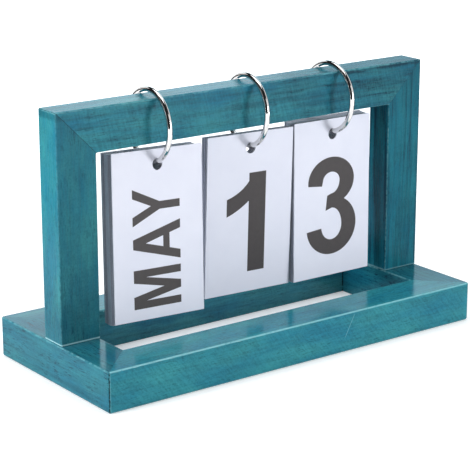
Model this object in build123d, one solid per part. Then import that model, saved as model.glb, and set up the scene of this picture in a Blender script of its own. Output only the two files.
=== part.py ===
"""Perpetual desk calendar: a mitred timber stand whose top rail carries three book rings of cards.

Millimetres, +Z up, -Y is the front. The origin is the centre of the base's underside.
"""
import math
import os

from build123d import *

# Timber stand
timber_width = 23.2
timber_depth = 16.4
base_depth = 105.4
base_height = 22.0
base_rail_width = 23.6
base_overhang = 0.5
edge_round = 0.8
base_round = 1.5

# Cards
card_width = 55.0
card_height = 88.6
card_thickness = 0.5
card_pitch = 0.89
tens_pitch = 1.7
hole_inset = 8.0
card_rail_gap = 4.65
card_floor_gap = 3.9

# Spaces beside and between the three stacks of cards
left_margin = 9.55
month_gap = 7.25
units_gap = 1.3
right_margin = 9.5

# Book rings: wire, snap at the top and riveted hinge at the bottom
wire_diameter = 2.9
hole_play = 3.2
hang_clearance = 0.15
seat_clearance = 0.15
seam_gap = 0.12
peg_diameter = 1.3
peg_length = 1.3
peg_clearance = 0.1
peg_nose_share = 0.8
eye_radius = 1.7
eye_offset = 0.9
cheek_thickness = 1.25
lap_gap = 0.12
lap_length = 2.6
rivet_diameter = 1.1
rivet_head_diameter = 2.0
rivet_head_height = 0.35
rivet_clearance = 0.05

# How each stack hangs: how far in front of the rail's middle its front card is, and how much lower than
# hole_inset the holes of its cards are punched
month_reach = 7.0
tens_reach = 3.9
units_reach = 3.5
tens_punch = 0.4
units_punch = 0.45

# Angles of each stack in degrees: turn of the ring on the rail, lean of the cards to the right,
# tilt of their feet to the front, and spin of the ring's seam
month_turn = -0.9
tens_turn = -2.5
units_turn = 1.95
month_lean = 1.8
tens_lean = 0.6
units_lean = 1.05
month_tilt = 3.6
tens_tilt = -1.3
units_tilt = 1.7
month_spin = 11.5
tens_spin = 19.0
units_spin = 27.0

# Fasteners
screw_diameter = 4.0
screw_length = 42.0
screw_head_diameter = 7.6
screw_head_height = 3.0
screw_tip_height = 5.0
screw_recess = 0.4
screw_clearance = 0.1
brad_diameter = 1.2
brad_length = 25.0
brad_set = 1.0
brad_clearance = 0.06
cut_overrun = 2.0

# Places of the paired brads, as shares of the section that they cross
upright_brad_shares = (-0.25, 0.25)
base_brad_shares = (0.33, 0.67)

# Cards of each stack, from the front one to the last
MONTHS = ["may", "june", "july", "august", "september", "october",
          "november", "december", "january", "february", "march", "april"]
TENS = ["1", "2", "3", "0"]
UNITS = ["3", "4", "5", "6", "7", "8", "9", "0", "1", "2"]

# The frame's width follows the three cards and the spaces beside them
clear_width = left_margin + right_margin + 3 * card_width + month_gap + units_gap
frame_width = clear_width + 2 * timber_width
base_width = frame_width + 2 * base_overhang
month_x = left_margin + card_width / 2 - clear_width / 2
tens_x = month_x + card_width + month_gap
units_x = tens_x + card_width + units_gap

# A ring is as large as the rail, the card's top and the gap between them ask for.
# It rests on the rail's two rounded top edges, so its inner circle touches two arcs of edge_round.
wire_radius = wire_diameter / 2
hole_radius = (wire_diameter + hole_play) / 2
hole_drop = hole_radius - wire_radius - hang_clearance
half_seat = timber_depth / 2 - edge_round
seat_margin = edge_round + seat_clearance
loop_height = timber_width + card_rail_gap + hole_inset - edge_round - wire_radius - hole_drop
seat_height = loop_height - seat_margin
ring_inner_radius = (half_seat ** 2 + seat_height ** 2) / (2 * seat_height) + seat_margin
ring_radius = ring_inner_radius + wire_radius
eye_height = ring_radius + eye_offset

# Heights follow the card that hangs lowest, at the bottom of its ring
hole_height = base_height + card_floor_gap + card_height - hole_inset
ring_height = hole_height + hole_drop + ring_radius
rail_top = ring_height + loop_height - ring_inner_radius + edge_round
rail_bottom = rail_top - timber_width

STACKS = [
    {"name": "month", "x": month_x, "reach": month_reach, "pitch": card_pitch, "punch": 0.0,
     "turn": month_turn, "lean": month_lean, "tilt": month_tilt, "spin": month_spin, "cards": MONTHS},
    {"name": "tens", "x": tens_x, "reach": tens_reach, "pitch": tens_pitch, "punch": tens_punch,
     "turn": tens_turn, "lean": tens_lean, "tilt": tens_tilt, "spin": tens_spin, "cards": TENS},
    {"name": "units", "x": units_x, "reach": units_reach, "pitch": card_pitch, "punch": units_punch,
     "turn": units_turn, "lean": units_lean, "tilt": units_tilt, "spin": units_spin, "cards": UNITS},
]

FLOOR_ALIGN = (Align.CENTER, Align.CENTER, Align.MIN)


def mitre_wedge(length, width, height):
    """Trapezium with 45 degree ends that holds one mitred board; its long side faces -Y."""
    long_half = length / 2 + cut_overrun
    short_half = length / 2 - width - cut_overrun
    outer = -cut_overrun
    inner = width + cut_overrun
    outline = Polyline((-long_half, outer), (long_half, outer), (short_half, inner),
                       (-short_half, inner), close=True)
    return extrude(make_face(outline), amount=height, both=True)


def by_side(solids):
    """Split cut boards into left and right by where they lie."""
    return sorted(solids, key=lambda solid: solid.center().X)


def screw(clearance):
    """Countersunk wood screw standing on its head, or the bore for it."""
    head = screw_head_diameter / 2 + clearance
    shank = screw_diameter / 2 + clearance
    tip = screw_length + clearance
    outline = Polyline((0, screw_recess), (head, screw_recess), (shank, screw_recess + screw_head_height),
                       (shank, tip - screw_tip_height), (0, tip), close=True)
    return revolve(make_face(Plane.XZ * outline), axis=Axis.Z)


def screw_hole():
    """Bore and countersink of a screw, open at the underside."""
    mouth = Cylinder(screw_head_diameter / 2 + screw_clearance, screw_recess, align=FLOOR_ALIGN)
    return screw(screw_clearance) + mouth


def screw_places():
    """The two screws stand under the middle of the posts' feet."""
    x = (frame_width - timber_width) / 2
    return [(-x, 0, 0), (x, 0, 0)]


def brad(clearance):
    """Headless brad along X, or the hole for it."""
    length = brad_length + 2 * clearance
    return Rot(Y=90) * Cylinder(brad_diameter / 2 + clearance, length)


def upright_brad_places():
    """Two brads across each top mitre, driven in from the frame's ends."""
    x = frame_width / 2 - brad_set - brad_length / 2
    z = rail_top - timber_width / 2
    return [(side * x, share * timber_depth, z) for side in (-1, 1) for share in upright_brad_shares]


def base_brad_places():
    """Two brads across each corner of the base, driven in from its ends."""
    x = base_width / 2 - brad_set - brad_length / 2
    y = (base_depth - base_rail_width) / 2
    return [(sx * x, sy * y, share * base_height)
            for sx in (-1, 1) for sy in (-1, 1) for share in base_brad_shares]


def placed(shape, places):
    """Separate copies of a shape at some places, as one compound."""
    return Compound(children=[Pos(*place) * shape for place in places])


def base_boards():
    """Four mitred boards of the base, cut from one rounded frame."""
    inner_width = base_width - 2 * base_rail_width
    inner_depth = base_depth - 2 * base_rail_width
    frame = Box(base_width, base_depth, base_height, align=FLOOR_ALIGN)
    frame -= Box(inner_width, inner_depth, base_height, align=FLOOR_ALIGN)
    corners = frame.edges().filter_by(Axis.Z).sort_by(lambda edge: abs(edge.center().X))[-4:]
    frame = fillet(corners + frame.faces().sort_by(Axis.Z)[0].outer_wire().edges(), base_round)
    top, bottom = frame.faces().sort_by(Axis.Z)[-1], frame.faces().sort_by(Axis.Z)[0]
    frame = fillet(top.edges() + bottom.inner_wires().edges(), edge_round)
    frame -= placed(screw_hole(), screw_places())
    frame -= placed(brad(brad_clearance), base_brad_places())
    wedge = mitre_wedge(base_width, base_rail_width, base_height + cut_overrun)
    wedge = Pos(0, -base_depth / 2, 0) * wedge
    front = frame & wedge
    back = frame & (Rot(Z=180) * wedge)
    left, right = by_side((frame - wedge - Rot(Z=180) * wedge).solids())
    return {"base_front_rail": front, "base_back_rail": back,
            "base_left_rail": left, "base_right_rail": right}


def upright_boards():
    """Two posts and the top rail, mitred together, cut from one rounded arch."""
    height = rail_top - base_height
    arch = Box(frame_width, timber_depth, height, align=FLOOR_ALIGN)
    arch -= Box(clear_width, timber_depth, rail_bottom - base_height, align=FLOOR_ALIGN)
    arch = Pos(0, 0, base_height) * fillet(arch.edges(), edge_round)
    arch -= placed(screw_hole(), screw_places())
    arch -= placed(brad(brad_clearance), upright_brad_places())
    wedge = mitre_wedge(frame_width, timber_width, timber_depth)
    wedge = Pos(0, 0, rail_top) * Rot(X=-90) * wedge
    left, right = by_side((arch - wedge).solids())
    return {"top_rail": arch & wedge, "left_post": left, "right_post": right}


def ring_half(side):
    """Half of a book ring round the X axis, hinge below and snap above; side is 1 behind, -1 in front."""
    seam_angle = math.degrees(seam_gap / 2 / ring_radius)
    section = Plane(origin=(0, 0, -ring_radius), x_dir=(1, 0, 0), z_dir=(0, 1, 0)) * Circle(wire_radius)
    wire = revolve(section, axis=Axis.X, revolution_arc=180 - seam_angle)
    reach = 2 * wire_diameter
    lap = Pos(lap_gap / 2 - reach, 0, -ring_radius) * Box(
        reach, 2 * lap_length, reach, align=(Align.MIN, Align.CENTER, Align.CENTER))
    along = Rot(Y=90)
    eye = Pos(lap_gap / 2, 0, -eye_height) * along * Cylinder(eye_radius, cheek_thickness, align=FLOOR_ALIGN)
    spot_face = Pos(lap_gap / 2 + cheek_thickness, 0, -eye_height) * along * Cylinder(
        eye_radius, wire_diameter, align=FLOOR_ALIGN)
    bore = Pos(0, 0, -eye_height) * along * Cylinder(rivet_diameter / 2 + rivet_clearance, reach)
    if side < 0:
        half = mirror(wire, about=Plane.XZ) - lap
        half = half - spot_face + eye - bore
        peg = Rot(X=-90) * Cylinder(peg_diameter / 2, peg_length + seam_gap, align=FLOOR_ALIGN)
        tip = peg.edges().filter_by(GeomType.CIRCLE).sort_by(Axis.Y)[-1]
        peg = fillet(tip, peg_diameter / 2 * peg_nose_share)
        return half + Pos(0, -seam_gap / 2, ring_radius) * peg
    half = wire - mirror(lap, about=Plane.YZ)
    half = half - mirror(spot_face, about=Plane.YZ) + mirror(eye, about=Plane.YZ) - bore
    socket = Rot(X=-90) * Cylinder(
        peg_diameter / 2 + peg_clearance, peg_length + seam_gap + peg_clearance, align=FLOOR_ALIGN)
    return half - Pos(0, 0, ring_radius) * socket


def ring_rivet():
    """Rivet of a book ring's hinge, headed at both ends."""
    grip = lap_gap + 2 * cheek_thickness + 2 * rivet_clearance
    shank = Cylinder(rivet_diameter / 2, grip)
    head = Pos(0, 0, grip / 2) * Cylinder(
        rivet_head_diameter / 2, rivet_head_height, align=FLOOR_ALIGN)
    head = fillet(head.edges().sort_by(Axis.Z)[-1], rivet_head_height / 2)
    rivet = shank + head + mirror(head, about=Plane.XY)
    return Pos(0, 0, -eye_height) * Rot(Y=90) * rivet


def flat_card(stack):
    """One card in the XZ plane with the middle of its hole at the origin."""
    sheet = Pos(0, hole_inset + stack["punch"] - card_height / 2) * Rectangle(card_width, card_height)
    sheet -= Circle(hole_radius)
    return extrude(Plane.XZ * sheet, amount=card_thickness / 2, both=True)


def card_place(stack, index):
    """Where a card hangs in its ring: its hole rests on the wire, which slopes away from the bottom."""
    y = index * stack["pitch"] - stack["reach"]
    slope = math.asin(y / ring_radius)
    skew = slope + math.radians(stack["tilt"])
    top = wire_radius / math.cos(skew) + card_thickness / 2 * abs(math.tan(skew))
    attitude = Rot(Y=stack["lean"]) * Rot(X=-stack["tilt"])
    drop = hole_radius - top - hang_clearance
    return Pos(0, y, -ring_radius * math.cos(slope)) * attitude * Pos(0, 0, -drop)


def stack_place(stack):
    """Where a ring hangs on the rail, turned a little about the upright direction."""
    return Pos(stack["x"], 0, ring_height) * Rot(Z=stack["turn"])


def build():
    """Every node of the calendar by name."""
    nodes = {}
    nodes.update(base_boards())
    nodes.update(upright_boards())
    nodes["post_screws"] = placed(screw(0), screw_places())
    nodes["upright_brads"] = placed(brad(0), upright_brad_places())
    nodes["base_brads"] = placed(brad(0), base_brad_places())
    front_half = ring_half(-1)
    back_half = ring_half(1)
    rivet = ring_rivet()
    for stack in STACKS:
        place = stack_place(stack)
        card = flat_card(stack)
        spun = place * Rot(X=stack["spin"])
        nodes[stack["name"] + "_ring_front_half"] = spun * front_half
        nodes[stack["name"] + "_ring_back_half"] = spun * back_half
        nodes[stack["name"] + "_ring_rivet"] = spun * rivet
        for index, title in enumerate(stack["cards"]):
            nodes[stack["name"] + "_card_" + title] = place * card_place(stack, index) * card
    return nodes


os.makedirs("parts", exist_ok=True)
for name, shape in build().items():
    export_step(shape, os.path.join("parts", name + ".step"))
print("ring inner diameter", round(2 * ring_inner_radius, 2), "ring height", round(ring_height, 2))
print("frame", round(frame_width, 2), "rail top", round(rail_top, 2), "base", round(base_width, 2))
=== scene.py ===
"""Looks of the perpetual desk calendar: stained timber, nickel rings and printed cards.

Metres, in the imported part's own frame: +Z up, -Y is the front.
"""
import math
from collections import namedtuple

import bpy
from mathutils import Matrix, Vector
from mathutils.geometry import delaunay_2d_cdt


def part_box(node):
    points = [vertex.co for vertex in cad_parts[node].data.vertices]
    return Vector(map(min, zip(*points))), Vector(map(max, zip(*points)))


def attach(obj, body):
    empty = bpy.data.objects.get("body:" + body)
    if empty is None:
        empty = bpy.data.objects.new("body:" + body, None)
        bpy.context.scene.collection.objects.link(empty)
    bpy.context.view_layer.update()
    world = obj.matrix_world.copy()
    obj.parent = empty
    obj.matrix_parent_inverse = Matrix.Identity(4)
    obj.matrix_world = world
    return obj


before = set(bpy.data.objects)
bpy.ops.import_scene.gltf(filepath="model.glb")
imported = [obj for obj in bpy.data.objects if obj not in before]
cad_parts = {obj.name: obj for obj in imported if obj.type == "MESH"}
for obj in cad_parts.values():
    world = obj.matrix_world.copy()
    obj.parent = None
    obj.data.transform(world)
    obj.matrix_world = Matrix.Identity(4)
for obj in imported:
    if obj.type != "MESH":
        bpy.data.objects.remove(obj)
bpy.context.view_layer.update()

X, Y, Z = range(3)

# Camera, fitted to the photograph
CAMERA_PLACE = Vector((-0.5536, -0.7375, 0.3264))
CAMERA_AIM = Vector((-0.00464, 0.0, 0.0591))
CAMERA_LENS = 136.3
SENSOR_WIDTH = 36.0

# Print on the cards, in metres from the left and bottom edges of a card
PRINT_LIFT = 0.00002
PRINT_THICKNESS = 0.00003
LETTER_HEIGHT = 0.0290
LETTER_BASELINE = 0.0407
WORD_MIDDLE = 0.0375
DIGIT_HEIGHT = 0.0552
DIGIT_MIDDLE = {"tens": (0.02535, 0.0389), "units": (0.02715, 0.0396)}
MONTH_WORDS = {
    "january": "JAN", "february": "FEB", "march": "MAR", "april": "APR", "may": "MAY", "june": "JUN",
    "july": "JUL", "august": "AUG", "september": "SEP", "october": "OCT", "november": "NOV",
    "december": "DEC",
}

# Weights of the glyphs' upright and level strokes, and the spaces between letters, as shares of their height
LETTER_SHARES = (0.14, 0.135)
DIGIT_SHARES = (0.194, 0.152)
TRACKING_SHARE = 0.110
KERN_SHARES = {"AY": -0.145, "AU": -0.02, "OV": -0.03}

# The level stroke where the two bowls of a 3 meet, as a share of the others
WAIST_SHARE = 0.76

# Steps of the glyphs' round strokes, and how near two of their points count as one
ARC_STEP = math.radians(6)
CURVE_STEPS = 8
MERGE_TOLERANCE = 1e-5

# Colours are linear. A stain has two tones, which the timber's blotches mix
STAIN = ((0.020, 0.172, 0.255), (0.050, 0.262, 0.290))
STAIN_PALE = ((0.019, 0.186, 0.262), (0.043, 0.268, 0.292))
STAIN_RAIL = ((0.018, 0.188, 0.285), (0.044, 0.275, 0.320))
# Lit and shaded copies of the stain: lighter on the base's front, painted light, and darker on the right post
# and the base's ends, painted shade
STAIN_FRONT_LIT = ((0.018, 0.218, 0.312), (0.040, 0.308, 0.348))
STAIN_DARK_SHADED = ((0.006, 0.140, 0.215), (0.016, 0.185, 0.235))
STAIN_SIDE_SHADED = ((0.010, 0.146, 0.220), (0.026, 0.210, 0.252))
# Dark of the grain, also used for the painted shade
DEEP_GRAIN_AND_SHADE = (0.003, 0.040, 0.066)
# Pale worn stain, which on the edges is also a painted highlight
PALE_WEAR_AND_HIGHLIGHT = (0.240, 0.560, 0.610)
# Painted highlight along the posts' feet
FOOT_HIGHLIGHT = (0.33, 0.60, 0.66)
SEAM_DARK = (0.003, 0.016, 0.022)
CARD_WHITE = (0.74, 0.765, 0.875)
CARD_SHADE = (0.70, 0.725, 0.84)
# Painted shade on the cards' cut edges: pale on the lit front edge, greys for the shade between the cards,
# and darker stripes
CARD_EDGE_SHADES = {"pale": (0.80, 0.82, 0.90), "mid": (0.42, 0.53, 0.60), "dark": (0.10, 0.12, 0.16)}
CARD_EDGE_STRIPE_SHADE = (0.10, 0.12, 0.15)
INK_DARK = (0.048, 0.043, 0.045)
INK_PALE = (0.062, 0.056, 0.058)
NICKEL = ((0.74, 0.73, 0.72), (0.56, 0.55, 0.54))
ZINC = ((0.60, 0.61, 0.60), (0.42, 0.43, 0.42))
FLOOR_WHITE = (0.86, 0.86, 0.87)
FLAG_DARK = (0.015, 0.016, 0.018)
LAMP_WHITE = (1.0, 1.0, 1.0)
LAMP_BLUE = (0.52, 0.85, 1.0)

# Least and greatest roughness of each finish
CARD_ROUGH = (0.42, 0.55)
INK_ROUGH = (0.38, 0.5)
NICKEL_ROUGH = (0.06, 0.14)
ZINC_ROUGH = (0.3, 0.5)
INK_GLOSS = 0.2

# Painted shade of the cut edges of a stack, from its front card backwards
EDGE_SHADE_ORDER = ("pale", "dark", "dark", "dark", "mid", "mid", "mid", "mid", "dark", "dark", "mid", "mid")


def even(count):
    """The same number of marks along every axis."""
    return (count, count, count)


# Layers of noise: marks in a metre along each axis, or along and across the grain, octaves, roughness, the
# shift that sets a layer apart from the others, and the values between which it comes in
Layer = namedtuple("Layer", "marks detail rough shift span", defaults=[0.0, (0.0, 1.0)])
FINE = Layer((40.0, 1000.0), 4.0, 0.65, 0.0, (0.35, 0.7))
BANDS = Layer((11.0, 330.0), 4.0, 0.6, 1.7, (0.48, 0.68))
BLOTCH = Layer((24.0, 75.0), 4.0, 0.65, 3.1, (0.35, 0.65))
HATCH = Layer((90.0, 760.0), 2.0, 0.6, 5.3, (0.38, 0.68))
DASHES = Layer((240.0, 1900.0), 2.0, 0.5, 7.9, (0.55, 0.66))
CHIPS = Layer(even(420.0), 3.0, 0.6, 2.5)
CLOUD = Layer(even(38.0), 2.0, 0.5, 4.2, (0.45, 0.7))
SPECKS = Layer(even(900.0), 2.0, 0.6, 6.1, (0.45, 0.75))
PATCHES = Layer(even(70.0), 2.0, 0.5, 8.8, (0.38, 0.58))
STREAK_WANDER = Layer((26.0, 0.0, 60.0), 3.0, 0.6, 11.0)
STREAK_BREAKS = Layer((60.0, 0.0, 200.0), 2.0, 0.5, 12.0, (0.3, 0.6))
SEAM_WANDER = Layer(even(700.0), 3.0, 0.6, 9.1)
SEAM_BREAKS = Layer(even(330.0), 2.0, 0.5, 4.4, (0.3, 0.45))
CARD_CLOUD = Layer(even(60.0), 4.0, 0.6, 0.0, (0.3, 0.8))
CARD_FIBRE = Layer(even(2600.0), 2.0, 0.5)
# stripes of painted shade on the cards' cut edges
CARD_EDGE_STRIPES = Layer((900.0, 900.0, 60.0), 2.0, 0.6, 0.3, (0.4, 0.9))
INK_CLOUD = Layer(even(400.0), 4.0, 0.6)
METAL_SPOTS = Layer(even(700.0), 4.0, 0.6, 0.0, (0.55, 0.8))
METAL_MARKS = Layer((3000.0, 500.0, 500.0), 2.0, 0.5)

# Relief of the surfaces: strength and height in metres
GRAIN_RELIEF = (0.2, 0.0001)
CARD_RELIEF = (0.05, 0.00002)
METAL_RELIEF = (0.03, 0.00003)

# Depths of the pores and the mitres' lines, and height of the hatch, against the fine grain
PORE_DEPTH = 1.5
SEAM_DEPTH = 2.0
HATCH_HEIGHT = 0.6

# How squarely a face looks along an axis: from where it counts as such a face to where it does fully,
# and from where a card's edge starts to take its painted shade to where it does fully
FACE_SPAN = (0.4, 0.9)
CARD_EDGE_SPAN = (0.7, 0.5)

# Looks of a plain board, which the others change in part
BOARD = {
    "stain": STAIN,
    # weights of the fine grain, bands, hatch, clouds, specks and pores, and the hatch's slant in radians
    "fine": 0.3, "bands": 0.26, "hatch": 0.06, "cloud": 0.14, "specks": 0.2, "pores": 0.3, "slant": 0.0,
    # wear of the edges with a painted highlight on them, its share on the upright ones, and the values of the
    # chips between which it comes in
    "wear": 0.4, "upright": 0.3, "chips": (0.35, 0.6),
    # weights of a scratch and of a painted highlight along the foot
    "scratch": 0.0, "foot": 0.0,
    # least and greatest roughness, and gloss, of the varnish
    "rough": (0.2, 0.34), "gloss": 0.08,
    # darker stretches, faces darkened with painted shade (axis and weight) and dark streaks
    "shades": (), "faces": (), "streaks": (),
}
BASE_ROUGH = (0.09, 0.17)
BASE_GLOSS = 0.13
BASE_SIDE_GLOSS = 0.11

# Darker stretches: axis, where it starts, where it is full, weight. On the rail it is painted shade, darker
# towards its right; the left post is darker towards its foot and in a band just below its top, the right post
# towards its top
RAIL_PAINTED_SHADE = ((X, 0.0, 0.12, 0.36),)
LEFT_POST_SHADES = ((Z, 0.085, 0.015, 0.32), (Z, 0.1375, 0.139, 0.3))
RIGHT_POST_SHADES = ((Z, 0.11, 0.14, 0.16),)

# Streaks of the rail: how far below its top, x where it starts, x where it is full, half its width, weight
RAIL_STREAKS = (
    (0.0075, -0.03, 0.05, 0.0014, 0.5),
    # just under the top edge: painted shade beneath that edge; the other streaks are dark lines of the grain
    (0.0018, 0.0, 0.06, 0.0016, 0.5),
    (0.0118, 0.02, 0.08, 0.0010, 0.35),
    (0.0105, 0.0, -0.06, 0.0010, 0.3),
)
STREAK_REACH = 0.005

# Lines of the mitres: how far they wander, half their width, and their weight on the right of the part.
# On the base's top they are faint
UPRIGHT_SEAM = (0.0004, 0.00022, 0.2)
BASE_SEAM = (0.0016, 0.0006, 1.0)
SEAM_CORE_SHARE = 0.4
SEAM_ON_TOP = 0.12

# Worn edges with a painted highlight on them, and the painted highlight along the feet: how far in they
# reach, and the share of it at full strength
EDGE_REACH = 0.0009
EDGE_CORE_SHARE = 0.3
FOOT_HIGHLIGHT_REACH = 0.0013
FOOT_HIGHLIGHT_CORE_SHARE = 0.6

# A scratch across the base's front from one point to another (x, z)
SCRATCH = ((0.0294, 0.0082), (0.0361, 0.0209))
SCRATCH_WIDTH = 0.00022
SCRATCH_CORE_SHARE = 0.3
SCRATCH_FULL_SHARE = 0.8

# Fill light of the world
FILL_LEVEL = 0.36

# Floor: half its width, its own glow beside the part, the distances over which the glow rises to white,
# and the share of it in the open middle of the base, where less glow paints the shade under the base
FLOOR_HALF = 6.0
FLOOR_GLOW = 0.36
FLOOR_FADE = (0.2, 0.7)
OPEN_BASE_SHADE_SHARE = 0.6

# Soft boxes, which look at the middle of the part
MIDDLE = Vector((0.0, 0.0, 0.07))
Lamp = namedtuple("Lamp", "place size watts colour", defaults=[LAMP_WHITE])
LAMPS = {
    "key_box": Lamp((0.54, -0.97, 0.14), (0.28, 0.5), 7.6),
    "left_box": Lamp((-1.15, 0.12, 0.4), (0.6, 0.7), 14.5),
    "top_box": Lamp((0.1, 0.1, 1.1), (0.9, 0.7), 5.5),
    "back_box": Lamp((0.75, 1.0, 0.45), (1.7, 0.75), 4.2, LAMP_BLUE),
}

# Dark flags that only reflections show: upright ones by their ends (x, y), foot and top, level ones by two
# corners (x, y) and their height
FLAG_TOP = 1.6
FLAG_LIFT = 0.0005
UPRIGHT_FLAGS = {
    "room_flag": ((-2.0, -0.4), (0.2, -2.3), 0.0, FLAG_TOP),
    "side_flag": ((-1.0, -1.2), (-1.0, 1.6), 0.0, FLAG_TOP),
    "far_flag": ((1.6, 2.0), (3.0, 1.4), 0.25, 0.85),
}
LEVEL_FLAGS = {
    "ceiling_flag": ((-2.0, -2.0), (2.0, 2.0), FLAG_TOP),
    "back_flag": ((-2.5, 0.24), (3.0, 3.0), FLAG_LIFT),
    "left_flag": ((-2.5, -0.02), (-0.36, 0.24), FLAG_LIFT),
    "right_flag": ((0.34, -0.2), (3.0, 0.24), FLAG_LIFT),
}


# Node trees

def feed(tree, socket, value):
    """Links an input to a socket, or sets any other value on it."""
    if isinstance(value, bpy.types.NodeSocket):
        tree.links.new(value, socket)
    else:
        socket.default_value = value


def set_inputs(tree, made, values):
    """Feeds several inputs of a node."""
    for key, value in values.items():
        feed(tree, made.inputs[key], value)


def add(tree, kind, inputs=None, **settings):
    """A new shader node with its settings and inputs."""
    made = tree.nodes.new("ShaderNode" + kind)
    for name, value in settings.items():
        setattr(made, name, value)
    set_inputs(tree, made, inputs or {})
    return made


def math_node(tree, operation, a, b=0.0):
    """One sum of two values."""
    return add(tree, "Math", {0: a, 1: b}, operation=operation).outputs[0]


def plus(tree, a, b):
    """a + b"""
    return math_node(tree, "ADD", a, b)


def minus(tree, a, b):
    """a - b"""
    return math_node(tree, "SUBTRACT", a, b)


def times(tree, a, b):
    """a * b"""
    return math_node(tree, "MULTIPLY", a, b)


def absolute(tree, a):
    """a without its sign"""
    return math_node(tree, "ABSOLUTE", a)


def between(tree, value, low, high, start=0.0, end=1.0):
    """A value that goes from low to high while another goes from start to end, and is held there."""
    return add(tree, "MapRange", {"Value": value, "From Min": start, "From Max": end,
                                  "To Min": low, "To Max": high}).outputs["Result"]


def ramp(tree, value, start, end):
    """0 up to start and 1 from end on, where end may be the lower of the two."""
    return between(tree, value, 0.0, 1.0, start, end)


def blend(tree, share, a, b):
    """A colour between a and b."""
    made = add(tree, "Mix", {"Factor": share}, data_type="RGBA")
    for socket, colour in ((made.inputs[6], a), (made.inputs[7], b)):
        feed(tree, socket, colour if isinstance(colour, bpy.types.NodeSocket) else (*colour, 1.0))
    return made.outputs[2]


def split(tree, vector):
    """The three coordinates of a vector."""
    return add(tree, "SeparateXYZ", {"Vector": vector}).outputs


def facing(tree, axis):
    """How squarely a face looks along an axis, with its sign."""
    return split(tree, add(tree, "TexCoord").outputs["Normal"])[axis]


def along(axis, length, across):
    """Marks that run along one axis."""
    scale = [across, across, across]
    scale[axis] = length
    return tuple(scale)


def noise(tree, place, layer, axis=None, seed=0.0):
    """A layer's noise, from 0 to 1, along its own axes or along the axis of a grain."""
    scale = layer.marks if axis is None else along(axis, *layer.marks)
    shift = seed + layer.shift
    start = (shift, 2 * shift, 3 * shift)
    spread = add(tree, "Mapping", {"Vector": place, "Scale": scale, "Location": start})
    return add(tree, "TexNoise", {"Vector": spread.outputs[0], "Scale": 1.0, "Detail": layer.detail,
                                  "Roughness": layer.rough}).outputs["Fac"]


def marks(tree, place, layer, axis=None, seed=0.0):
    """A layer's noise, from 0 where its span starts to 1 where it ends."""
    return ramp(tree, noise(tree, place, layer, axis, seed), *layer.span)


def wander(tree, place, layer, reach, seed=0.0):
    """A layer's noise as a way to either side, half of reach at most."""
    return times(tree, minus(tree, noise(tree, place, layer, None, seed), 0.5), reach)


def relief(tree, height, size):
    """Bump of a height, at a strength and a height in metres."""
    strength, distance = size
    return add(tree, "Bump", {"Height": height, "Strength": strength, "Distance": distance}).outputs[0]


def new_tree(owner):
    """The empty node tree of a material or world."""
    owner.use_nodes = True
    owner.node_tree.nodes.clear()
    return owner.node_tree


def new_surface(name):
    """A new material with its tree, its shader and the place of a point in the part's frame."""
    material = bpy.data.materials.new(name)
    tree = new_tree(material)
    shader = add(tree, "BsdfPrincipled")
    add(tree, "OutputMaterial", {"Surface": shader.outputs[0]})
    place = add(tree, "TexCoord").outputs["Object"]
    return material, tree, shader, place


# Marks of the timber

def edge_wear(tree, place, node, upright):
    """Wear and painted highlight of a board's edges: 1 on its level edges, upright on its upright ones and 0
    from EDGE_REACH inwards.
    """
    low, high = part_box(node)
    parts = split(tree, place)
    depths = []
    for axis in (X, Y, Z):
        below = minus(tree, parts[axis], low[axis])
        above = minus(tree, high[axis], parts[axis])
        depths.append(math_node(tree, "MINIMUM", below, above))
    worn = 0.0
    for first, second, weight in ((X, Z, 1.0), (Y, Z, 1.0), (X, Y, upright)):
        reach = math_node(tree, "MAXIMUM", depths[first], depths[second])
        edge = times(tree, ramp(tree, reach, EDGE_REACH, EDGE_REACH * EDGE_CORE_SHARE), weight)
        worn = math_node(tree, "MAXIMUM", edge, worn)
    return worn


def scratch_mark(tree, place):
    """1 on the thin scratch across the base's front."""
    (x0, z0), (x1, z1) = SCRATCH
    length = math.hypot(x1 - x0, z1 - z0)
    half = length / 2
    along_x, along_z = (x1 - x0) / length, (z1 - z0) / length
    parts = split(tree, place)
    side = minus(tree, parts[X], x0)
    rise = minus(tree, parts[Z], z0)
    off = absolute(tree, minus(tree, times(tree, side, along_z), times(tree, rise, along_x)))
    run = plus(tree, times(tree, side, along_x), times(tree, rise, along_z))
    from_middle = absolute(tree, minus(tree, run, half))
    return times(tree, ramp(tree, off, SCRATCH_WIDTH, SCRATCH_WIDTH * SCRATCH_CORE_SHARE),
                 ramp(tree, from_middle, half, half * SCRATCH_FULL_SHARE))


def dark_streak(tree, place, seed, level, start, stop, width, weight):
    """A wavering dark line at a height, which comes in from one x to another: a dark line of the grain, and
    just under the rail's top edge painted shade.
    """
    parts = split(tree, place)
    off = minus(tree, parts[Z], level)
    off = absolute(tree, plus(tree, off, wander(tree, place, STREAK_WANDER, STREAK_REACH, seed)))
    line = times(tree, ramp(tree, off, width, 0.0), ramp(tree, parts[X], start, stop))
    return times(tree, times(tree, line, marks(tree, place, STREAK_BREAKS, None, seed)), weight)


def foot_highlight_line(tree, place, node):
    """1 along the foot of a post, where a highlight is painted."""
    rise = minus(tree, split(tree, place)[Z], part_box(node)[0].z)
    return ramp(tree, rise, FOOT_HIGHLIGHT_REACH, FOOT_HIGHLIGHT_REACH * FOOT_HIGHLIGHT_CORE_SHARE)


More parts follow.
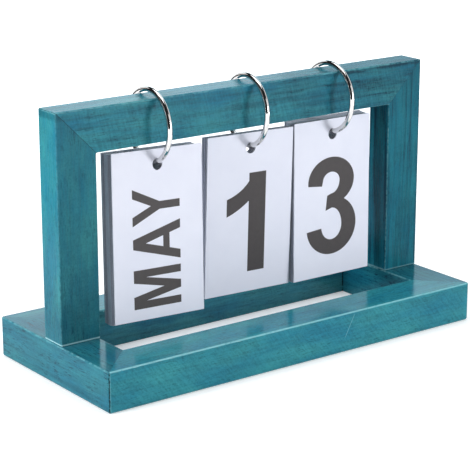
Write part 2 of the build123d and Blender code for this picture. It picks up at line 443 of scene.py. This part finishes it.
def mitre_seam(other, corner, jitter, width, right):
    """Ragged line of a mitre, at 45 degrees inwards from a corner of the part.

    The corner has an x and a place on the other axis: Z on the upright frame, and Y on the base, which has
    mitres at front and back. The line's weight is 1 on the left of the part and right on its right.
    """
    def seam(tree, place):
        parts = split(tree, place)
        side = minus(tree, corner[0], absolute(tree, parts[X]))
        rise = absolute(tree, parts[Y]) if other == Y else parts[Z]
        rise = minus(tree, corner[1], rise)
        gap = plus(tree, minus(tree, side, rise), wander(tree, place, SEAM_WANDER, jitter))
        line = ramp(tree, absolute(tree, gap), width, width * SEAM_CORE_SHARE)
        line = times(tree, line, marks(tree, place, SEAM_BREAKS))
        line = times(tree, line, between(tree, parts[X], 1.0, right, -corner[0], corner[0]))
        if other == Y:
            line = times(tree, line, between(tree, facing(tree, Z), 1.0, SEAM_ON_TOP, *FACE_SPAN))
        return line

    return seam


def grain_and_shade_depth(tree, place, look, fine, hatch, pores):
    """How dark the grain and the painted shade make the stain: the sum of a board's marks, 1 at most."""
    axis, seed = look["axis"], look["seed"]
    darker = [
        (ramp(tree, fine, *FINE.span), look["fine"]),
        (marks(tree, place, BANDS, axis, seed), look["bands"]),
        (ramp(tree, hatch, *HATCH.span), look["hatch"]),
        (marks(tree, place, SPECKS, None, seed), look["specks"]),
        (marks(tree, place, CLOUD, None, seed), look["cloud"]),
    ]
    # darker stretches along an axis; on the rail painted shade
    for shade_axis, start, stop, weight in look["shades"]:
        darker.append((ramp(tree, split(tree, place)[shade_axis], start, stop), weight))
    # faces that look along an axis are darkened: painted shade
    for face_axis, weight in look["faces"]:
        darker.append((ramp(tree, absolute(tree, facing(tree, face_axis)), *FACE_SPAN), weight))
    depth = pores
    for share, weight in darker:
        depth = plus(tree, depth, times(tree, share, weight))
    for streak in look["streaks"]:
        depth = plus(tree, depth, dark_streak(tree, place, seed, *streak))
    return math_node(tree, "MINIMUM", depth, 1.0)


def wear_and_highlight_share(tree, place, node, look):
    """How far the stain of a board turns pale: wear with a painted highlight on its chipped edges, and wear
    along any scratch.
    """
    chips = ramp(tree, noise(tree, place, CHIPS, None, look["seed"]), *look["chips"])
    wear = times(tree, edge_wear(tree, place, node, look["upright"]), times(tree, chips, look["wear"]))
    if look["scratch"]:
        wear = math_node(tree, "MAXIMUM", wear, times(tree, scratch_mark(tree, place), look["scratch"]))
    return wear


# Materials

def stained_wood(node, look, seam):
    """Stained and varnished timber with its grain along an axis, painted shade and highlights; seam draws the
    lines of its mitres.
    """
    material, tree, shader, place = new_surface(node + "_stain")
    axis, seed = look["axis"], look["seed"]
    fine = noise(tree, place, FINE, axis, seed)
    slanted = add(tree, "VectorRotate", {"Vector": place, "Axis": (0.0, 1.0, 0.0), "Angle": look["slant"]})
    hatch = noise(tree, slanted.outputs[0], HATCH, look["cross"], seed)
    patches = times(tree, marks(tree, place, PATCHES, None, seed), look["pores"])
    pores = times(tree, marks(tree, place, DASHES, axis, seed), patches)
    line = seam(tree, place)

    colour = blend(tree, marks(tree, place, BLOTCH, axis, seed), *look["stain"])
    # the grain and the painted shade darken the stain
    colour = blend(tree, grain_and_shade_depth(tree, place, look, fine, hatch, pores), colour, DEEP_GRAIN_AND_SHADE)
    # pale wear with a painted highlight on the edges, and the scratch
    colour = blend(tree, wear_and_highlight_share(tree, place, node, look), colour, PALE_WEAR_AND_HIGHLIGHT)
    # a painted highlight along the foot
    if look["foot"]:
        colour = blend(tree, times(tree, foot_highlight_line(tree, place, node), look["foot"]), colour, FOOT_HIGHLIGHT)
    colour = blend(tree, line, colour, SEAM_DARK)

    height = minus(tree, fine, times(tree, pores, PORE_DEPTH))
    height = plus(tree, height, times(tree, hatch, HATCH_HEIGHT))
    height = minus(tree, height, times(tree, line, SEAM_DEPTH))
    set_inputs(tree, shader, {"Base Color": colour, "Roughness": between(tree, fine, *look["rough"]),
                              "Normal": relief(tree, height, GRAIN_RELIEF),
                              "Specular IOR Level": look["gloss"]})
    return material


def coated_card(name, edge_shade):
    """Coated white card with a faint fibre cloud, and cut edges greyed with painted shade in stripes."""
    material, tree, shader, place = new_surface("coated_card_" + name)
    cloud = noise(tree, place, CARD_CLOUD)
    colour = blend(tree, ramp(tree, cloud, *CARD_CLOUD.span), CARD_WHITE, CARD_SHADE)
    shaded_edge = blend(tree, marks(tree, place, CARD_EDGE_STRIPES), edge_shade, CARD_EDGE_STRIPE_SHADE)
    edge = ramp(tree, absolute(tree, facing(tree, Y)), *CARD_EDGE_SPAN)
    fibre = noise(tree, place, CARD_FIBRE)
    set_inputs(tree, shader, {"Base Color": blend(tree, edge, colour, shaded_edge),
                              "Roughness": between(tree, cloud, *CARD_ROUGH),
                              "Normal": relief(tree, fibre, CARD_RELIEF)})
    return material


def printing_ink():
    """Dark grey ink with the small unevenness of a solid print."""
    material, tree, shader, place = new_surface("printing_ink")
    cloud = noise(tree, place, INK_CLOUD)
    set_inputs(tree, shader, {"Base Color": blend(tree, cloud, INK_DARK, INK_PALE),
                              "Roughness": between(tree, cloud, *INK_ROUGH), "Specular IOR Level": INK_GLOSS})
    return material


def plated_metal(name, tones, rough):
    """Plated metal with faint drawing marks and dull spots."""
    material, tree, shader, place = new_surface(name)
    spots = noise(tree, place, METAL_SPOTS)
    colour = blend(tree, ramp(tree, spots, *METAL_SPOTS.span), *tones)
    drawing = noise(tree, place, METAL_MARKS)
    set_inputs(tree, shader, {"Base Color": colour, "Metallic": 1.0,
                              "Roughness": between(tree, spots, *rough),
                              "Normal": relief(tree, drawing, METAL_RELIEF)})
    return material


# Glyphs, on a height of 1

def box(x0, y0, x1, y1):
    """Upright rectangle."""
    return [(x0, y0), (x1, y0), (x1, y1), (x0, y1)]


def slant(foot, top, width, y0=0.0, y1=1.0):
    """Slanted stroke with level ends, from the left of its foot to the left of its top."""
    return [(foot, y0), (foot + width, y0), (top + width, y1), (top, y1)]


def flipped(shape, width):
    """Mirror image of a stroke about the middle of a glyph."""
    return [(width - x, y) for x, y in shape]


def turned(shape, width):
    """A stroke turned by half a turn about the middle of a glyph."""
    return [(width - x, 1.0 - y) for x, y in shape]


def bend(start, control, end):
    """Points of a curved edge."""
    shares = [i / CURVE_STEPS for i in range(CURVE_STEPS + 1)]
    return [tuple((1 - t) ** 2 * a + 2 * t * (1 - t) * c + t * t * b for a, c, b in zip(start, control, end))
            for t in shares]


def bowl(x, y, rx, ry, start, end, weights):
    """Arc of an elliptical ring, from start to end degrees, as strokes of at most half a turn."""
    stem, bar = weights
    strokes = []
    count = max(1, math.ceil((end - start) / 180))
    for part in range(count):
        low = math.radians(start + (end - start) * part / count)
        high = math.radians(start + (end - start) * (part + 1) / count)
        steps = math.ceil((high - low) / ARC_STEP)
        angles = [low + (high - low) * i / steps for i in range(steps + 1)]
        outer = [(x + rx * math.cos(a), y + ry * math.sin(a)) for a in angles]
        inner = [(x + (rx - stem) * math.cos(a), y + (ry - bar) * math.sin(a)) for a in reversed(angles)]
        strokes.append(outer + inner)
    return strokes


def oblong(width, low, weights):
    """Two half rings, low above the foot and below the top, with straight sides between them."""
    stem = weights[0]
    high = 1 - low
    return [*bowl(width / 2, high, width / 2, low, 0, 180, weights),
            *bowl(width / 2, low, width / 2, low, 180, 360, weights),
            box(0, low, stem, high), box(width - stem, low, width, high)]


def letter_strokes(weights):
    """Width and strokes of each capital of the month words, with upright strokes s and level ones b wide."""
    s, b = weights
    mid = 0.5 - b / 2
    stem = box(0, 0, s, 1)
    foot = box(0, 0, 0.56, b)
    head = box(0, 1 - b, 0.56, 1)
    bump_bars = [box(0, 1 - b, 0.34, 1), box(0, 0.43, 0.34, 0.43 + b)]
    top_bowl = bowl(0.34, 0.715, 0.285, 0.285, -90, 90, weights)
    round_left = [*bowl(0.36, 0.6, 0.36, 0.4, 25, 180, weights),
                  *bowl(0.36, 0.4, 0.36, 0.4, 180, 335, weights), box(0, 0.4, s, 0.6)]
    cup = bowl(0.33, 0.33, 0.33, 0.33, 180, 360, weights)
    # the two bowls of an S share its middle stroke
    s_top = 0.275
    s_low = (1 + b) / 2 - s_top
    a_leg = slant(0, 0.271, 0.16)
    v_leg = slant(0.265, 0, 0.15)
    y_arm = [(0, 1), (0.165, 1), (0.333, 0.61), (0.333, 0.43), (0.262, 0.43)]
    m_slope = [(0.09, 1), (0.225, 1), (0.426, 0), (0.282, 0)]
    g_jaw = [(0.58, 0.2), (0.66, 0.165), (0.72, 0.22), (0.72, 0.5), (0.58, 0.5)]
    return {
        "A": (0.718, [a_leg, flipped(a_leg, 0.718), box(0.13, 0.23, 0.59, 0.23 + b)]),
        "B": (0.65, [stem, *bump_bars, *top_bowl, box(0, 0, 0.36, b),
                     *bowl(0.36, 0.283, 0.29, 0.283, -90, 90, weights)]),
        "C": (0.72, round_left),
        "D": (0.68, [stem, box(0, 0, 0.3, b), box(0, 1 - b, 0.3, 1),
                     *bowl(0.3, 0.5, 0.38, 0.5, -90, 90, weights)]),
        "E": (0.56, [stem, foot, head, box(0, mid, 0.52, mid + b)]),
        "F": (0.56, [stem, head, box(0, mid, 0.5, mid + b)]),
        "G": (0.72, [*round_left, box(0.38, 0.4, 0.72, 0.4 + b), g_jaw]),
        "J": (0.52, [box(0.52 - s, 0.3, 0.52, 1), *bowl(0.26, 0.3, 0.26, 0.3, 180, 360, weights)]),
        "L": (0.56, [stem, foot]),
        "M": (0.708, [stem, flipped(stem, 0.708), m_slope, flipped(m_slope, 0.708)]),
        "N": (0.66, [stem, flipped(stem, 0.66), slant(0.66 - 0.165, 0, 0.165)]),
        "O": (0.76, oblong(0.76, 0.4, weights)),
        "P": (0.625, [stem, *bump_bars, *top_bowl]),
        "R": (0.66, [stem, *bump_bars, *top_bowl, slant(0.5, 0.28, 0.165, 0, 0.5)]),
        "S": (0.64, [*bowl(0.32, 1 - s_top, 0.32, s_top, 20, 270, weights),
                     *bowl(0.32, s_low, 0.32, s_low, -160, 90, weights)]),
        "T": (0.6, [box(0, 1 - b, 0.6, 1), box(0.3 - s / 2, 0, 0.3 + s / 2, 1)]),
        "U": (0.66, [box(0, 0.33, s, 1), box(0.66 - s, 0.33, 0.66, 1), *cup]),
        "V": (0.68, [v_leg, flipped(v_leg, 0.68)]),
        "Y": (0.665, [y_arm, flipped(y_arm, 0.665), box(0.262, 0, 0.403, 0.46)]),
    }


def digit_strokes(weights):
    """Width and strokes of each digit, with upright strokes s and level ones b wide."""
    s, b = weights
    w = 0.66
    low_ring = bowl(w / 2, 0.31, w / 2, 0.31, 0, 360, weights)
    six = [*low_ring, *bowl(w / 2, 0.62, w / 2, 0.38, 35, 180, weights), box(0, 0.31, s, 0.62)]
    flag = bend((0, 0.586), (0.14, 0.63), (0.259, 0.723)) + bend((0.31, 1.0), (0.22, 0.82), (0, 0.761))
    two_slope = [(0, b), (0.27, b), (0.621, 0.559), (0.56, 0.64), (0.45, 0.63)]
    # the bowls of a 3, the rounded end of its upper one and the join between them
    waist = (s, b * WAIST_SHARE)
    upper = (0.323, 0.755, 0.305, 0.245)
    lower = (0.329, 0.297, 0.329, 0.297)
    three = [*bowl(*upper, 0, 180, weights), *bowl(*upper, -90, 0, waist),
             *bowl(*lower, 0, 90, waist), *bowl(*lower, -174, 0, weights),
             [(0.018, 0.755), (0.018 + s, 0.755), (0.2, 0.713), (0.0195, 0.733)],
             [(0.25, 0.457), (0.329, 0.594 - waist[1]), (0.329, 0.51 + waist[1]), (0.323, 0.51 + waist[1]),
              (0.27, 0.608)]]
    four_slope = [(0, 0.22 + b), (0.17, 0.22 + b), (0.4, 0.733), (0.42, 1), (0.4, 1)]
    five_stem = [(0.03, 0.44), (0.244, 0.467), (0.244, 0.6), (0.225, 0.64), (0.262, 1 - b), (0.262, 1),
                 (0.1, 1)]
    return {
        "0": (w, oblong(w, 0.36, weights)),
        "1": (0.455, [box(0.257, 0, 0.455, 1), flag]),
        "2": (w, [*bowl(w / 2, 0.7, w / 2, 0.3, -28, 172, weights), box(0, 0, w, b), two_slope]),
        "3": (0.658, three),
        "4": (0.7, [box(0.4, 0, 0.4 + s, 1), box(0, 0.22, 0.7, 0.22 + b), four_slope]),
        "5": (w, [box(0.1, 1 - b, w - 0.03, 1), five_stem,
                  *bowl(w / 2, 0.325, w / 2, 0.325, -172, 125, weights)]),
        "6": (w, six),
        "7": (w, [box(0, 1 - b, w, 1), slant(0.14, w - 0.2, 0.2)]),
        "8": (w, [*bowl(w / 2, 0.745, 0.29, 0.255, 0, 360, weights),
                  *bowl(w / 2, 0.285, w / 2, 0.285, 0, 360, weights)]),
        "9": (w, [turned(stroke, w) for stroke in six]),
    }


LETTERS = letter_strokes(LETTER_SHARES)
DIGITS = digit_strokes(DIGIT_SHARES)


def word_strokes(word, glyphs):
    """Strokes of a word on a height of 1, with the word's width."""
    strokes = []
    x = 0.0
    for index, letter in enumerate(word):
        width, shapes = glyphs[letter]
        strokes += [[(x + px, py) for px, py in shape] for shape in shapes]
        x += width
        if index + 1 < len(word):
            x += TRACKING_SHARE + KERN_SHARES.get(word[index:index + 2], 0.0)
    return strokes, x


# Prints

def wound(stroke):
    """A stroke's outline, anticlockwise."""
    area = sum(a[0] * b[1] - b[0] * a[1] for a, b in zip(stroke, stroke[1:] + stroke[:1]))
    return stroke if area > 0 else stroke[::-1]


def merged(strokes):
    """One flat mesh of overlapping strokes: its points and its triangles."""
    strokes = [wound(stroke) for stroke in strokes]
    points = [Vector(p) for stroke in strokes for p in stroke]
    faces = []
    start = 0
    for stroke in strokes:
        faces.append(list(range(start, start + len(stroke))))
        start += len(stroke)
    out = delaunay_2d_cdt(points, [], faces, 0, MERGE_TOLERANCE)
    triangles = [list(tri) for tri, origins in zip(out[2], out[5]) if origins]
    return [tuple(p) for p in out[0]], triangles


def card_axes(node):
    """Lower left corner, right, up and outward directions of a card's front, from its own corners."""
    points = [v.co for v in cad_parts[node].data.vertices]
    low_left = min(points, key=lambda p: p.x + p.z + p.y)
    low_right = max(points, key=lambda p: p.x - p.z - p.y)
    top_left = min(points, key=lambda p: p.x - p.z + p.y)
    right = (low_right - low_left).normalized()
    up = (top_left - low_left).normalized()
    return low_left.copy(), right, up, right.cross(up)


def print_piece(node, strokes, place, material):
    """Thin raised print on the front of a card, where place maps a glyph's point to the card."""
    corner, right, up, out = card_axes(node)
    flat, triangles = merged(strokes)
    used = sorted({i for tri in triangles for i in tri})
    index = {old: new for new, old in enumerate(used)}
    count = len(used)

    def lifted(point, lift):
        u, v = place(*point)
        return corner + right * u + up * v + out * lift

    points = [lifted(flat[i], PRINT_LIFT + PRINT_THICKNESS) for i in used]
    points += [lifted(flat[i], PRINT_LIFT) for i in used]
    front = [[index[i] for i in tri] for tri in triangles]
    edges = {(tri[k], tri[(k + 1) % 3]) for tri in front for k in range(3)}
    rim = sorted(edge for edge in edges if edge[::-1] not in edges)
    faces = front + [[i + count for i in reversed(tri)] for tri in front]
    faces += [[a, a + count, b + count, b] for a, b in rim]
    mesh = bpy.data.meshes.new(node + "_print")
    mesh.from_pydata(points, [], faces)
    mesh.materials.append(material)
    piece = bpy.data.objects.new(node + "_print", mesh)
    bpy.context.scene.collection.objects.link(piece)
    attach(piece, node)


def print_month(node, title, material):
    """A month's short name, set sideways so that it reads upward."""
    strokes, width = word_strokes(MONTH_WORDS[title], LETTERS)
    start = WORD_MIDDLE - width * LETTER_HEIGHT / 2

    def place(x, y):
        return LETTER_BASELINE - y * LETTER_HEIGHT, start + x * LETTER_HEIGHT

    print_piece(node, strokes, place, material)


def print_digit(node, stack, title, material):
    """A digit about the middle of its card."""
    width, strokes = DIGITS[title]
    left = DIGIT_MIDDLE[stack][0] - width * DIGIT_HEIGHT / 2
    foot = DIGIT_MIDDLE[stack][1] - DIGIT_HEIGHT / 2

    def place(x, y):
        return left + x * DIGIT_HEIGHT, foot + y * DIGIT_HEIGHT

    print_piece(node, strokes, place, material)


# Dress the CAD nodes

def dress(node, material):
    """Gives a CAD node its material."""
    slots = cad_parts[node].data.materials
    slots.clear()
    slots.append(material)


def board(axis, cross, seed, **changes):
    """Looks of one board: the axis of its grain, that of the hatch across it, a seed and what it changes."""
    return {**BOARD, "axis": axis, "cross": cross, "seed": seed, **changes}


def dress_timber():
    """Each board has its own grain, painted shade and highlights, and the lines of the mitres that it meets.
    """
    rail_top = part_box("top_rail")[1].z
    frame_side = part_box("right_post")[1].x
    base_side = -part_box("base_left_rail")[0].x
    base_front = -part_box("base_front_rail")[0].y
    upright_seam = mitre_seam(Z, (frame_side, rail_top), *UPRIGHT_SEAM)
    base_seam = mitre_seam(Y, (base_side, base_front), *BASE_SEAM)
    streaks = [(rail_top - drop, *rest) for drop, *rest in RAIL_STREAKS]
    polished = {"rough": BASE_ROUGH, "gloss": BASE_GLOSS}
    # The base's ends take a darker copy of the stain, painted shade
    side = {"stain": STAIN_SIDE_SHADED, "pores": 0.65, "rough": BASE_ROUGH, "gloss": BASE_SIDE_GLOSS}
    boards = {
        # The rail: darker towards its right with painted shade, and dark streaks
        "top_rail": board(X, Z, 1.3, stain=STAIN_RAIL, hatch=0.2, slant=0.25, shades=RAIL_PAINTED_SHADE,
                          streaks=streaks),
        # The left post: its front darkened with painted shade, and a painted highlight along its foot
        "left_post": board(Z, X, 4.1, stain=STAIN_PALE, fine=0.22, bands=0.12, cloud=0.2, foot=0.8,
                           faces=[(Y, 0.13)], shades=LEFT_POST_SHADES),
        # The right post: a darker stain and its faces across x darkened, painted shade, a painted highlight
        # along its foot and more painted highlight on its upright edges
        "right_post": board(Z, X, 8.6, stain=STAIN_DARK_SHADED, fine=0.36, bands=0.62, foot=0.25, upright=0.9,
                            faces=[(X, 0.2)], shades=RIGHT_POST_SHADES),
        # The base's front: a lighter stain, painted light, strong edge wear with a painted highlight line,
        # and a scratch
        "base_front_rail": board(X, Z, 2.2, stain=STAIN_FRONT_LIT, fine=0.2, bands=0.1, hatch=0.2, slant=0.7,
                                 wear=0.9, chips=(0.15, 0.45), scratch=0.5, **polished),
        "base_back_rail": board(X, Z, 6.4, **polished),
        "base_left_rail": board(Y, Z, 3.7, **side),
        # The base's right end: its faces across x darkened with painted shade
        "base_right_rail": board(Y, Z, 5.9, faces=[(X, 0.2)], **side),
    }
    for node, look in boards.items():
        seam = base_seam if node.startswith("base") else upright_seam
        dress(node, stained_wood(node, look, seam))


def dress_metal():
    """Bright nickel on the rings, zinc on the hidden fasteners."""
    nickel = plated_metal("nickel", NICKEL, NICKEL_ROUGH)
    zinc = plated_metal("zinc", ZINC, ZINC_ROUGH)
    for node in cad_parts:
        if "_ring_" in node:
            dress(node, nickel)
    for node in ("post_screws", "upright_brads", "base_brads"):
        dress(node, zinc)


def dress_cards():
    """White cards, each with its month or digit in ink and its edges' painted shade by its place in the
    stack.
    """
    cards = {name: coated_card(name, colour) for name, colour in CARD_EDGE_SHADES.items()}
    ink = printing_ink()
    nodes = sorted((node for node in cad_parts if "_card_" in node), key=lambda node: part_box(node)[0].y)
    places = {"month": 0, "tens": 0, "units": 0}
    for node in nodes:
        stack, title = node.split("_card_")
        dress(node, cards[EDGE_SHADE_ORDER[places[stack]]])
        places[stack] += 1
        if stack == "month":
            print_month(node, title, ink)
        else:
            print_digit(node, stack, title, ink)


# Stage

def look_at(piece, place, aim):
    """Puts a lamp or camera into the scene at a place, turned to a point."""
    piece.location = place
    piece.rotation_euler = (aim - Vector(place)).to_track_quat("-Z", "Y").to_euler()
    bpy.context.scene.collection.objects.link(piece)


def soft_box(name, lamp):
    """Rectangular area light that looks at the middle of the part."""
    light = bpy.data.lights.new(name, "AREA")
    light.shape = "RECTANGLE"
    light.size, light.size_y = lamp.size
    light.energy = lamp.watts
    light.color = lamp.colour
    holder = bpy.data.objects.new(name, light)
    look_at(holder, lamp.place, MIDDLE)
    holder.visible_camera = False


def seen_rays(tree):
    """1 for rays that show the background: from the camera, in reflections and through glass."""
    path = add(tree, "LightPath").outputs
    seen = math_node(tree, "MAXIMUM", path["Is Camera Ray"], path["Is Glossy Ray"])
    return math_node(tree, "MAXIMUM", seen, path["Is Transmission Ray"])


def level_box(low, high, z):
    """Corners of a level rectangle between two points (x, y)."""
    return [(low[0], low[1], z), (high[0], low[1], z), (high[0], high[1], z), (low[0], high[1], z)]


def upright_box(start, end, foot, top):
    """Corners of an upright rectangle between two points (x, y)."""
    return [(*start, foot), (*end, foot), (*end, top), (*start, top)]


def plane(name, corners, material):
    """Flat four-cornered stage piece."""
    mesh = bpy.data.meshes.new(name)
    mesh.from_pydata(corners, [], [[0, 1, 2, 3]])
    mesh.materials.append(material)
    piece = bpy.data.objects.new(name, mesh)
    bpy.context.scene.collection.objects.link(piece)
    return piece


def floor_material():
    """White floor that keeps the shadow and shows as white where nothing shades it; in the open middle of the
    base its glow is cut, a painted shade.
    """
    material = bpy.data.materials.new("floor")
    tree = new_tree(material)
    place = add(tree, "TexCoord").outputs["Object"]
    distance = add(tree, "VectorMath", {0: place}, operation="LENGTH").outputs["Value"]
    far = ramp(tree, distance, *FLOOR_FADE)
    parts = split(tree, place)
    open_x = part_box("base_right_rail")[0].x
    open_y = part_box("base_back_rail")[0].y
    beyond = math_node(tree, "MAXIMUM", minus(tree, absolute(tree, parts[X]), open_x),
                       minus(tree, absolute(tree, parts[Y]), open_y))
    # less glow inside the base's opening: painted shade
    outside = ramp(tree, beyond, 0.0, open_y / 2)
    level = times(tree, between(tree, far, FLOOR_GLOW, 1.0), between(tree, outside, OPEN_BASE_SHADE_SHARE, 1.0))
    matt = add(tree, "BsdfDiffuse", {"Color": (*FLOOR_WHITE, 1.0)})
    glow = add(tree, "Emission", {"Strength": times(tree, seen_rays(tree), level)})
    both = add(tree, "AddShader", {0: matt.outputs[0], 1: glow.outputs[0]})
    add(tree, "OutputMaterial", {"Surface": both.outputs[0]})
    return material


def flag_material():
    """Dark cloth, which the metal and the varnish mirror."""
    material = bpy.data.materials.new("flag")
    tree = new_tree(material)
    glow = add(tree, "Emission", {"Color": (*FLAG_DARK, 1.0), "Strength": 1.0})
    add(tree, "OutputMaterial", {"Surface": glow.outputs[0]})
    return material


def make_floor():
    """Wide white floor under the part."""
    plane("floor", level_box((-FLOOR_HALF, -FLOOR_HALF), (FLOOR_HALF, FLOOR_HALF), 0.0), floor_material())


def make_flags():
    """Dark flags round the part, which neither the camera nor the light sees."""
    cloth = flag_material()
    flags = [plane(name, upright_box(*flag), cloth) for name, flag in UPRIGHT_FLAGS.items()]
    flags += [plane(name, level_box(*flag), cloth) for name, flag in LEVEL_FLAGS.items()]
    for flag in flags:
        flag.visible_camera = False
        flag.visible_diffuse = False
        flag.visible_shadow = False


def make_lights():
    """Soft boxes and an even fill light from the world, which is white where it is seen."""
    for name, lamp in LAMPS.items():
        soft_box(name, lamp)
    world = bpy.data.worlds.new("studio")
    bpy.context.scene.world = world
    tree = new_tree(world)
    strength = between(tree, seen_rays(tree), FILL_LEVEL, 1.0)
    shade = add(tree, "Background", {"Color": (1.0, 1.0, 1.0, 1.0), "Strength": strength})
    add(tree, "OutputWorld", {"Surface": shade.outputs[0]})


def make_camera():
    """Camera at the photograph's angle."""
    lens = bpy.data.cameras.new("camera")
    lens.lens = CAMERA_LENS
    lens.sensor_width = SENSOR_WIDTH
    camera = bpy.data.objects.new("camera", lens)
    look_at(camera, CAMERA_PLACE, CAMERA_AIM)
    bpy.context.scene.camera = camera
    bpy.context.scene.view_settings.view_transform = "Standard"


dress_timber()
dress_metal()
dress_cards()
make_floor()
make_flags()
make_lights()
make_camera()
